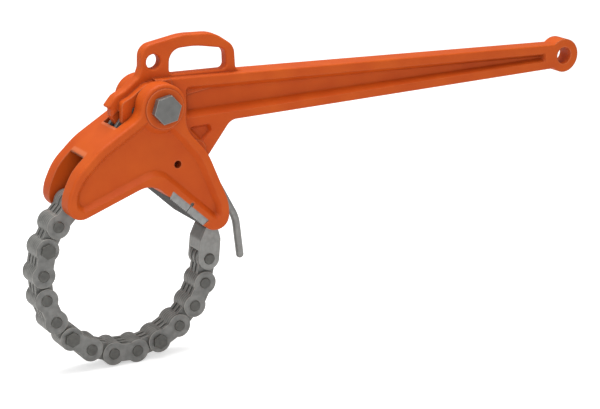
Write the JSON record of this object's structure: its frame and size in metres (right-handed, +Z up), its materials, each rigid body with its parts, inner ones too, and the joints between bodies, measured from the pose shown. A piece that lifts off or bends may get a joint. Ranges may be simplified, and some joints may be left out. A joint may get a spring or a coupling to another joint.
{
  "type": "pipe tong",
  "caption": "Chain pipe tong with a V jaw that has toothed inserts, a laced plate chain with a hooked latch, and a long I-beam handle with hand-hold, lifting eye and hanging ring.",
  "frame": {"origin": "axis of the gripped pipe, half way across the jaw", "axes": "+X along the handle towards its ring, +Y along the pipe, +Z up, away from the chain's loop towards the handle"},
  "size_m": [0.9731, 0.144, 0.4899],
  "materials": {
    "cast_orange": "satin orange paint on cast iron",
    "chain_steel": "matt grey steel plates",
    "pin_steel": "darker matt steel pins",
    "bolt_steel": "satin steel",
    "insert_steel": "bright ground steel",
    "rod_steel": "plated steel rod"
  },
  "bodies": {
    "jaw": {"jaw": "cast_orange", "jaw_insert_upper": "insert_steel", "jaw_insert_lower": "insert_steel", "insert_pin": "pin_steel", "pivot_bolt": "bolt_steel", "pivot_washer": "bolt_steel", "pivot_nut": "bolt_steel", "hook_pin": "pin_steel"},
    "handle": {"handle": "cast_orange", "handle_bush": "bolt_steel", "anchor_pin": "pin_steel"},
    "anchor": {"anchor_plates": "chain_steel", "anchor_spacer": "chain_steel"},
    "link_01": {"link_01_plates": "chain_steel", "link_01_pins": "pin_steel"},
    "link_02": {"link_02_plates": "chain_steel"},
    "link_03": {"link_03_plates": "chain_steel", "link_03_pins": "pin_steel"},
    "link_04": {"link_04_plates": "chain_steel"},
    "link_05": {"link_05_plates": "chain_steel", "link_05_pins": "pin_steel"},
    "link_06": {"link_06_plates": "chain_steel"},
    "link_07": {"link_07_plates": "chain_steel", "link_07_pins": "pin_steel"},
    "link_08": {"link_08_plates": "chain_steel"},
    "link_09": {"link_09_plates": "chain_steel", "link_09_pins": "pin_steel"},
    "link_10": {"link_10_plates": "chain_steel"},
    "link_11": {"link_11_plates": "chain_steel", "link_11_pins": "pin_steel"},
    "link_12": {"link_12_plates": "chain_steel"},
    "link_13": {"link_13_plates": "chain_steel", "link_13_pins": "pin_steel"},
    "link_14": {"link_14_plates": "chain_steel"},
    "latch": {"latch_plates": "chain_steel", "latch_block": "chain_steel", "latch_pin": "pin_steel", "latch_rod": "rod_steel"}
  },
  "joints": [
    {"name": "handle_hinge", "type": "hinge", "parent": "jaw", "child": "handle", "pos_m": [0.05, 0, 0.242], "axis": [0, -1, 0], "range_deg": [0, 12]},
    {"name": "anchor_hinge", "type": "hinge", "parent": "handle", "child": "anchor", "pos_m": [0.0185, 0, 0.2365], "axis": [0, -1, 0], "range_deg": [-15.01, 0]},
    {"name": "chain_hinge_01", "type": "hinge", "parent": "anchor", "child": "link_01", "pos_m": [-0.08127, 0, 0.10629], "axis": [0, -1, 0], "range_deg": [0, 4.2]},
    {"name": "chain_hinge_02", "type": "hinge", "parent": "link_01", "child": "link_02", "pos_m": [-0.10793, 0, 0.07908], "axis": [0, 1, 0], "range_deg": [-4, 4]},
    {"name": "chain_hinge_03", "type": "hinge", "parent": "link_02", "child": "link_03", "pos_m": [-0.12584, 0, 0.04545], "axis": [0, 1, 0], "range_deg": [-4, 4]},
    {"name": "chain_hinge_04", "type": "hinge", "parent": "link_03", "child": "link_04", "pos_m": [-0.13355, 0, 0.00814], "axis": [0, 1, 0], "range_deg": [-4, 4]},
    {"name": "chain_hinge_05", "type": "hinge", "parent": "link_04", "child": "link_05", "pos_m": [-0.13043, 0, -0.02983], "axis": [0, 1, 0], "range_deg": [-8.61, 8.61]},
    {"name": "chain_hinge_06", "type": "hinge", "parent": "link_05", "child": "link_06", "pos_m": [-0.11674, 0, -0.06539], "axis": [0, 1, 0], "range_deg": [-7.37, 7.37]},
    {"name": "chain_hinge_07", "type": "hinge", "parent": "link_06", "child": "link_07", "pos_m": [-0.09357, 0, -0.09564], "axis": [0, 1, 0], "range_deg": [-7.37, 7.37]},
    {"name": "chain_hinge_08", "type": "hinge", "parent": "link_07", "child": "link_08", "pos_m": [-0.06282, 0, -0.11813], "axis": [0, 1, 0], "range_deg": [-7.37, 7.37]},
    {"name": "chain_hinge_09", "type": "hinge", "parent": "link_08", "child": "link_09", "pos_m": [-0.02698, 0, -0.13105], "axis": [0, -1, 0], "range_deg": [-1.24, 0]},
    {"name": "chain_hinge_10", "type": "hinge", "parent": "link_09", "child": "link_10", "pos_m": [0.01105, 0, -0.13334], "axis": [0, 1, 0], "range_deg": [-7.37, 7.37]},
    {"name": "chain_hinge_11", "type": "hinge", "parent": "link_10", "child": "link_11", "pos_m": [0.04818, 0, -0.12482], "axis": [0, 1, 0], "range_deg": [-7.37, 7.37]},
    {"name": "chain_hinge_12", "type": "hinge", "parent": "link_11", "child": "link_12", "pos_m": [0.08141, 0, -0.10618], "axis": [0, 1, 0], "range_deg": [-2.81, 2.81]},
    {"name": "chain_hinge_13", "type": "hinge", "parent": "link_12", "child": "link_13", "pos_m": [0.10804, 0, -0.07893], "axis": [0, 1, 0], "range_deg": [-4.05, 4.05]},
    {"name": "chain_hinge_14", "type": "hinge", "parent": "link_13", "child": "link_14", "pos_m": [0.12591, 0, -0.04528], "axis": [0, 1, 0], "range_deg": [-4.05, 4.05]},
    {"name": "latch_hinge", "type": "hinge", "parent": "link_14", "child": "latch", "pos_m": [0.13356, 0, -0.00796], "axis": [0, 1, 0], "range_deg": [0, 60]}
  ],
  "couplings": [
    {"joint": "anchor_hinge", "follows": "handle_hinge", "ratio": -1.2468},
    {"joint": "chain_hinge_01", "follows": "handle_hinge", "ratio": 0.34568},
    {"joint": "chain_hinge_09", "follows": "handle_hinge", "ratio": -0.09886},
    {"joint": "chain_hinge_05", "follows": "chain_hinge_02", "ratio": -2.14},
    {"joint": "chain_hinge_08", "follows": "chain_hinge_02", "ratio": 1.8303},
    {"joint": "chain_hinge_12", "follows": "chain_hinge_02", "ratio": -0.69032},
    {"joint": "chain_hinge_06", "follows": "chain_hinge_03", "ratio": -1.8303},
    {"joint": "chain_hinge_10", "follows": "chain_hinge_03", "ratio": 1.8303},
    {"joint": "chain_hinge_13", "follows": "chain_hinge_03", "ratio": -1},
    {"joint": "chain_hinge_07", "follows": "chain_hinge_04", "ratio": -1.8303},
    {"joint": "chain_hinge_11", "follows": "chain_hinge_04", "ratio": 1.8303},
    {"joint": "chain_hinge_14", "follows": "chain_hinge_04", "ratio": -1}
  ]
}
